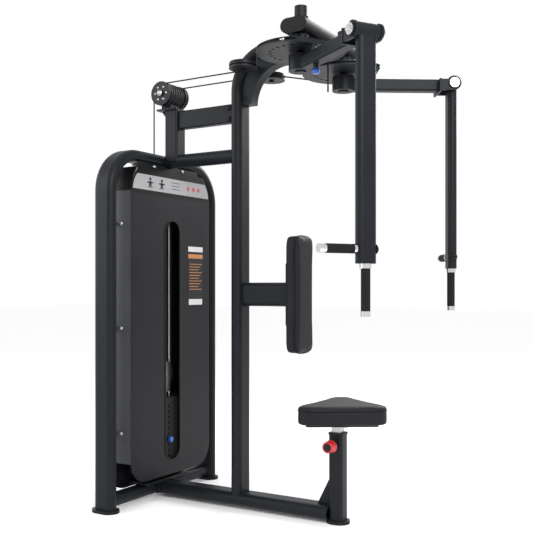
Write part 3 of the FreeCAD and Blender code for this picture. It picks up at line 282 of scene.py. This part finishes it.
def slab(low, high, bevel):
    """A block with its edges eased."""
    made = bmesh.new()
    bmesh.ops.create_cube(made, size=1.0)
    low, high = Vector(low), Vector(high)
    for vert in made.verts:
        vert.co = Vector(a + (b - a) * (c + 0.5) for a, b, c in zip(low, high, vert.co))
    bmesh.ops.bevel(made, geom=made.edges[:], offset=bevel, segments=2, affect="EDGES", profile=0.5)
    return finished(made)


def bolt(at, axis, radius=0.008):
    """A domed socket head on a washer."""
    return lathe(
        [
            (radius * 1.5, 0.0),
            (radius * 1.5, radius * 0.18),
            (radius, radius * 0.2),
            (radius * 0.96, radius * 0.55),
            (radius * 0.72, radius * 0.86),
            (radius * 0.42, radius * 0.95),
            (radius * 0.40, radius * 0.55),
        ],
        at,
        axis,
        24,
    )


# Pads --------------------------------------------------------------------------------------------


def swell(shape, held, pressure, cap):
    """Inflates a shape as cloth over its filling, holding the side that is on the board."""
    start = [vert.co.copy() for vert in shape.data.vertices]
    group = shape.vertex_groups.new(name="held")
    group.add([v.index for v in shape.data.vertices if held(v.co)], 1.0, "REPLACE")
    cloth = shape.modifiers.new("cloth", "CLOTH")
    cloth.settings.quality = 5
    cloth.settings.mass = 0.3
    cloth.settings.vertex_group_mass = "held"
    cloth.settings.use_pressure = True
    cloth.settings.uniform_pressure_force = pressure
    cloth.settings.effector_weights.gravity = 0.0
    cloth.collision_settings.use_collision = False
    scene = bpy.context.scene
    for number in range(1, 21):
        scene.frame_set(number)
    ready = shape.evaluated_get(bpy.context.evaluated_depsgraph_get())
    moved = [vert.co.copy() for vert in ready.data.vertices]
    shape.modifiers.clear()
    scene.frame_set(1)
    for vert, old, new in zip(shape.data.vertices, start, moved):
        step = new - old
        if step.length > cap:
            step *= cap / step.length
        vert.co = old + step


def upholstered(name, node, body, inset, held, pressure):
    """A foam pad in grained leather, swollen from a slightly smaller copy of its solid."""
    shape = bpy.data.objects.new(name, NODES[node].data.copy())
    bpy.context.scene.collection.objects.link(shape)
    centre = middle(node)
    span = high_of(node) - low_of(node)
    for vert in shape.data.vertices:
        for axis in range(3):
            vert.co[axis] = centre[axis] + (vert.co[axis] - centre[axis]) * (1 - 2 * inset[axis] / span[axis])
    modifier = shape.modifiers.new("even", "REMESH")
    modifier.mode = "VOXEL"
    modifier.voxel_size = 0.005
    modifier = shape.modifiers.new("soften", "SMOOTH")
    modifier.iterations = 10
    modifier.factor = 0.5
    ready = shape.evaluated_get(bpy.context.evaluated_depsgraph_get())
    even = bpy.data.meshes.new_from_object(ready)
    shape.modifiers.clear()
    shape.data = even
    swell(shape, held, pressure, 0.003)
    modifier = shape.modifiers.new("taut", "SMOOTH")
    modifier.iterations = 8
    modifier.factor = 0.5
    shape.modifiers.new("finer", "SUBSURF").levels = 1
    shape.modifiers["finer"].render_levels = 1
    ready = shape.evaluated_get(bpy.context.evaluated_depsgraph_get())
    finer = bpy.data.meshes.new_from_object(ready)
    shape.modifiers.clear()
    shape.data = finer
    shape.data.materials.clear()
    shape.data.materials.append(LEATHER)
    for face in shape.data.polygons:
        face.use_smooth = True
    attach(shape, body)
    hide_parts(node)
    return shape


def seam(shape, flat, level, centre):
    """The line where a pad's top panel is sewn to its side, found on the pad itself."""
    one, two = [axis for axis in range(3) if axis != flat]
    bins = 120
    reach = [0.0] * bins
    for vert in shape.data.vertices:
        if abs(vert.co[flat] - level) > 0.004:
            continue
        across = vert.co[one] - centre[one]
        along = vert.co[two] - centre[two]
        index = int((math.atan2(along, across) / (2 * math.pi) + 1) * bins) % bins
        reach[index] = max(reach[index], math.hypot(across, along))
    for index in range(bins):
        if reach[index] == 0.0:
            reach[index] = max(reach[index - 1], reach[(index + 1) % bins])
    points = []
    for index in range(bins):
        angle = 2 * math.pi * (index + 0.5) / bins
        far = (reach[index - 1] + 2 * reach[index] + reach[(index + 1) % bins]) / 4
        spot = Vector((0, 0, 0))
        spot[flat] = level
        spot[one] = centre[one] + far * math.cos(angle)
        spot[two] = centre[two] + far * math.sin(angle)
        points.append(spot)
    return points


seat_low, seat_high = low_of("seat_pad"), high_of("seat_pad")
pad_low, pad_high = low_of("back_pad"), high_of("back_pad")
seat_pad = upholstered(
    "seat_cushion", "seat_pad", "seat", (0.004, 0.004, 0.003), lambda co: co.z < seat_low.z + 0.010, 1.2
)
back_pad = upholstered(
    "back_cushion", "back_pad", "root", (0.003, 0.004, 0.004), lambda co: co.x < pad_low.x + 0.010, 1.2
)
seat_edge = seam(seat_pad, 2, seat_high.z - 0.018, middle("seat_pad"))
back_edge = seam(back_pad, 0, pad_high.x - 0.014, middle("back_pad"))
piece("seat_seam", tube(seat_edge, 0.0022, True, 8), STITCH, "seat")
piece("back_seam", tube(back_edge, 0.0022, True, 8), STITCH, "root")


# Knobs and pins ----------------------------------------------------------------------------------

knob_y = low_of("seat_pin").y
pin_at = Vector((middle("seat_pin").x, high_of("seat_pin").y, middle("seat_pin").z))
knob_end = Vector((pin_at.x, knob_y, pin_at.z))
knob = piece(
    "seat_knob",
    lathe(
        [
            (0.0165, 0.0), (0.0215, 0.0), (0.0230, 0.002), (0.0230, 0.008), (0.0205, 0.012), (0.0198, 0.018),
            (0.0225, 0.025), (0.0260, 0.030), (0.0262, 0.033), (0.0240, 0.035), (0.0100, 0.035),
        ],
        knob_end, (0, 1, 0), 48,
    ),
    RED, "seat_pin",
)
knob_cap = piece(
    "seat_knob_cap",
    lathe([(0.004, -0.002), (0.014, -0.002), (0.0165, 0.0), (0.0165, 0.004)], knob_end, (0, 1, 0), 40),
    TRIM, "seat_pin",
)
shaft_length = pin_at.y - knob_y
knob_rod = piece(
    "seat_pin_rod",
    lathe([(0.004, 0.004), (0.005, 0.006), (0.005, shaft_length - 0.002), (0.0035, shaft_length)], knob_end, (0, 1, 0), 24),
    ZINC, "seat_pin",
)
for part in (knob, knob_cap, knob_rod):
    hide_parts("seat_pin")

for side in SIDES:
    node = f"index_pin_{side}"
    foot = middle(node)
    foot.z = low_of(node).z
    tall = high_of(node).z - foot.z
    grip = piece(
        f"index_knob_{side}",
        lathe(
            [
                (0.006, 0.0), (0.012, 0.001), (0.0155, 0.004), (0.016, 0.009), (0.0145, 0.013),
                (0.011, 0.017), (0.010, 0.020), (0.006, 0.020),
            ],
            foot, (0, 0, 1), 40,
        ),
        BLUE, f"index_pin_{side}",
    )
    rod = piece(
        f"index_rod_{side}",
        lathe([(0.0045, 0.004), (0.005, 0.006), (0.005, tall - 0.003), (0.0035, tall)], foot, (0, 0, 1), 24),
        ZINC, f"index_pin_{side}",
    )
    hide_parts(node)
    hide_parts(node)

tip = Vector((low_of("selector_pin").x, middle("selector_pin").y, middle("selector_pin").z))
long = high_of("selector_pin").x - tip.x
pull = piece(
    "selector_knob",
    lathe(
        [
            (0.006, long - 0.016), (0.0115, long - 0.016), (0.013, long - 0.013), (0.0125, long - 0.007),
            (0.0130, long - 0.003), (0.0105, long), (0.004, long),
        ],
        tip, (1, 0, 0), 40,
    ),
    BLUE, "selector_pin",
)
bar = piece(
    "selector_rod",
    lathe([(0.0028, 0.0), (0.0045, 0.003), (0.0045, long - 0.012), (0.003, long - 0.010)], tip, (1, 0, 0), 24),
    ZINC, "selector_pin",
)
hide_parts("selector_pin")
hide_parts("selector_pin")


# Cables ------------------------------------------------------------------------------------------

runs_low, runs_high = low_of("lift_cable_runs"), high_of("lift_cable_runs")
run_x = middle("lift_cable_runs").x
rope = []
for sign in (-1, 1):
    y = runs_high.y - 0.003 if sign > 0 else runs_low.y + 0.003
    count = 24
    rope.append(
        tube(
            [Vector((run_x, y, runs_low.z + (runs_high.z - runs_low.z) * n / count)) for n in range(count + 1)],
            0.003,
        )
    )
runs = piece("lift_runs", joined(*rope), CABLE, "root")
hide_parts("lift_cable_runs")
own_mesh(runs)

CAM_PITCH = 0.167
WRAP_FROM = math.radians(-147.2)
WRAP_TO = math.radians(-85)
for side, sign in SIDES.items():
    hub = Vector(joint(f"cam_{side}_turn")["pos_m"])
    arc = []
    for n in range(33):
        angle = WRAP_FROM + (WRAP_TO - WRAP_FROM) * n / 32
        arc.append(hub + Vector((CAM_PITCH * math.cos(angle), -sign * CAM_PITCH * math.sin(angle), 0)))
    wrap = piece(f"cam_wrap_{side}", tube(arc, 0.003), CABLE, None)
    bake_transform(wrap)
    clamp = lathe([(0.004, -0.010), (0.007, -0.009), (0.007, 0.009), (0.004, 0.010)], arc[-1], (1, 0, 0), 24)
    piece(f"cam_clamp_{side}", clamp, ZINC, f"cam_{side}")


# Fasteners, welds and trim -----------------------------------------------------------------------

brace = middle("upper_braces")
column_back = low_of("column").x
bow_top = high_of("tower_bow").z
heads = []
for side, sign in SIDES.items():
    for height in (0.317, 0.765, 1.210):
        heads.append(bolt((TOWER_X + 0.019, sign * 0.286, height), (0, sign, 0), 0.005))
for y in (-0.102, 0.102):
    heads.append(bolt((TOWER_X + 0.050, y, 1.470), (1, 0, 0), 0.006))
piece("cover_screws", joined(*heads), ZINC, "root")

frame_heads = []
for height in (1.662, 1.708):
    for sign in (-1, 1):
        frame_heads.append(bolt((column_back - 0.020, sign * 0.020, height), (0, sign, 0), 0.008))
for sign in (-1, 1):
    frame_heads.append(bolt((TOWER_X + 0.039, sign * 0.055, 0.032), (1, 0, 0), 0.005))
for sign in (-1, 1):
    frame_heads.append(bolt((TOWER_X + 0.475, sign * 0.025, 1.735), (0, sign, 0), 0.007))
    for x in (TOWER_X + 0.52, TOWER_X + 0.60):
        frame_heads.append(bolt((x, sign * 0.025, 1.895), (0, sign, 0), 0.006))
piece("frame_bolts", joined(*frame_heads), TRIM, "root")

drum = middle("top_pulley_right")
ribs = []
for n in range(-2, 3):
    for sign in (1,):
        y = n * 0.018
        ribs.append(
            lathe(
                [(0.046, -0.004), (0.0505, -0.003), (0.0515, 0.0), (0.0505, 0.003), (0.046, 0.004)],
                (drum.x, y, drum.z), (0, 1, 0), 56,
            )
        )
piece("drum_ribs", joined(*ribs), NYLON, "root")
for side, sign in SIDES.items():
    centre = middle(f"top_pulley_{side}")
    face = centre.y + sign * 0.010
    dots = []
    for n in range(6):
        angle = math.radians(60 * n)
        spot = (centre.x + 0.030 * math.cos(angle), face, centre.z + 0.030 * math.sin(angle))
        dots.append(bolt(spot, (0, sign, 0), 0.0035))
    piece(f"top_pulley_bolts_{side}", joined(*dots), ZINC, f"top_pulley_{side}")
    axle = bolt((centre.x, sign * 0.078, centre.z), (0, sign, 0), 0.009)
    piece(f"top_axle_head_{side}", axle, ZINC, "root")

welds = [
    tube([Vector((TOWER_X + 0.411, 0.031 * math.cos(a), 1.503 + 0.031 * math.sin(a)))
          for a in [2 * math.pi * n / 40 for n in range(40)]], 0.0028, True, 8),
    tube([Vector((TOWER_X + 0.870, 0.0515 * math.cos(a), 0.0395 + 0.0262 * math.sin(a)))
          for a in [2 * math.pi * n / 40 for n in range(40)]], 0.0028, True, 8),
]
for side, sign in SIDES.items():
    y = sign * 0.337
    welds.append(
        tube([Vector((TOWER_X + 0.0305 * math.cos(a), y, 0.042 + 0.0305 * math.sin(a)))
              for a in [2 * math.pi * n / 40 for n in range(40)]], 0.0028, True, 8)
    )
piece("frame_welds", joined(*welds), FRAME, "root")

for side, sign in SIDES.items():
    hub = Vector(joint(f"post_{side}_swing")["pos_m"])
    across = Vector((-sign * math.sin(ARM_TURN), math.cos(ARM_TURN), 0))
    rings = []
    for way in (-1, 1):
        rings.append(
            lathe(
                [(0.0215, 0.0), (0.0235, 0.001), (0.0235, 0.005), (0.0215, 0.006)],
                hub + across * way * 0.056, across * way, 48,
            )
        )
    piece(f"hub_rings_{side}", joined(*rings), TRIM, f"arm_{side}")
    dome = bolt(
        Vector((hub.x, hub.y, middle(f"grips_{side}").z * 0 + 1.067)) - across * sign * 0.0375,
        -across * sign,
        0.0115,
    )
    piece(f"post_bolt_{side}", dome, TRIM, f"post_{side}")


# Signs: plain pictograms and blocks, no lettering ------------------------------------------------

sign_x = high_of("instruction_plate").x
sign_z = middle("instruction_plate").z
ink = []
for y in (-0.16, -0.08):
    ink.append(lathe([(0.007, 0.0), (0.007, 0.0006)], (sign_x, y, sign_z + 0.016), (1, 0, 0), 24))
    ink.append(slab((sign_x - 0.0002, y - 0.008, sign_z - 0.014), (sign_x + 0.0006, y + 0.008, sign_z + 0.007), 0.0002))
    ink.append(slab((sign_x - 0.0002, y - 0.022, sign_z - 0.001), (sign_x + 0.0006, y + 0.022, sign_z + 0.004), 0.0002))
    ink.append(slab((sign_x - 0.0002, y - 0.016, sign_z - 0.020), (sign_x + 0.0006, y + 0.016, sign_z - 0.016), 0.0002))
for number, y in enumerate((0.02, 0.02, 0.02)):
    z = sign_z + 0.016 - number * 0.014
    ink.append(slab((sign_x - 0.0002, y - 0.030, z - 0.0012), (sign_x + 0.0006, y + 0.030, z + 0.0012), 0.0002))
piece("sign_figures", joined(*ink), INK, "root", False)
marks = [
    lathe([(0.009, 0.0), (0.009, 0.0006)], (sign_x, y, sign_z), (1, 0, 0), 28) for y in (0.115, 0.155, 0.195)
]
piece("sign_marks", joined(*marks), RED, "root", False)

cover_x = high_of("front_cover").x


def label(name, y_low, y_high, z_low, z_high, material):
    shape = slab((cover_x - 0.0002, y_low, z_low), (cover_x + 0.0006, y_high, z_high), 0.0002)
    piece(name, shape, material, "root", False)


label("label_head", 0.118, 0.231, 1.104, 1.128, WHITE)
label("label_bar", 0.118, 0.231, 1.073, 1.093, ORANGE)
label("label_block", 0.116, 0.233, 0.887, 1.068, INK)
label("label_box", 0.122, 0.227, 0.857, 0.8835, WHITE)
lines = [
    slab((cover_x + 0.0004, 0.126, 1.045 - n * 0.013), (cover_x + 0.0010, 0.222 - 0.012 * (n % 3), 1.048 - n * 0.013), 0.0002)
    for n in range(10)
]
piece("label_lines", joined(*lines), ORANGE, "root", False)


# Floor, light and camera -------------------------------------------------------------------------

floor_shape = bmesh.new()
bmesh.ops.create_grid(floor_shape, x_segments=4, y_segments=4, size=30)
floor = bpy.data.objects.new("floor", finished(floor_shape))
bpy.context.scene.collection.objects.link(floor)
floor.data.materials.append(surface("floor_pale", (0.97, 0.97, 0.97), 0.6, grain=40, bump=0.0, vary=0.01))

world = bpy.data.worlds.new("studio")
world.use_nodes = True
world.node_tree.nodes["Background"].inputs["Color"].default_value = (1, 1, 1, 1)
world.node_tree.nodes["Background"].inputs["Strength"].default_value = 1.0
bpy.context.scene.world = world
bpy.context.scene.view_settings.view_transform = "Standard"


def lamp(name, at, target, wide, watts):
    data = bpy.data.lights.new(name, "AREA")
    data.shape = "RECTANGLE"
    data.size = wide
    data.size_y = wide
    data.energy = watts
    made = bpy.data.objects.new(name, data)
    bpy.context.scene.collection.objects.link(made)
    made.location = at
    made.rotation_euler = (Vector(target) - Vector(at)).to_track_quat("-Z", "Y").to_euler()


lamp("key", (3.2, -2.6, 3.4), (0, 0, 1.0), 2.4, 150)
lamp("fill", (-3.4, -2.4, 2.2), (0, 0, 1.0), 2.6, 70)
lamp("rim", (0.4, 3.4, 3.2), (0, 0, 1.2), 2.2, 90)

eye = bpy.data.cameras.new("camera")
eye.sensor_width = 36
eye.lens = 55.72
eye.shift_y = 0.0385
camera = bpy.data.objects.new("camera", eye)
bpy.context.scene.collection.objects.link(camera)
camera.location = (TOWER_X + 2.3565, -2.968, 0.94)
camera.rotation_euler = Vector((-0.5165, 0.8563, 0)).to_track_quat("-Z", "Y").to_euler()
bpy.context.scene.camera = camera
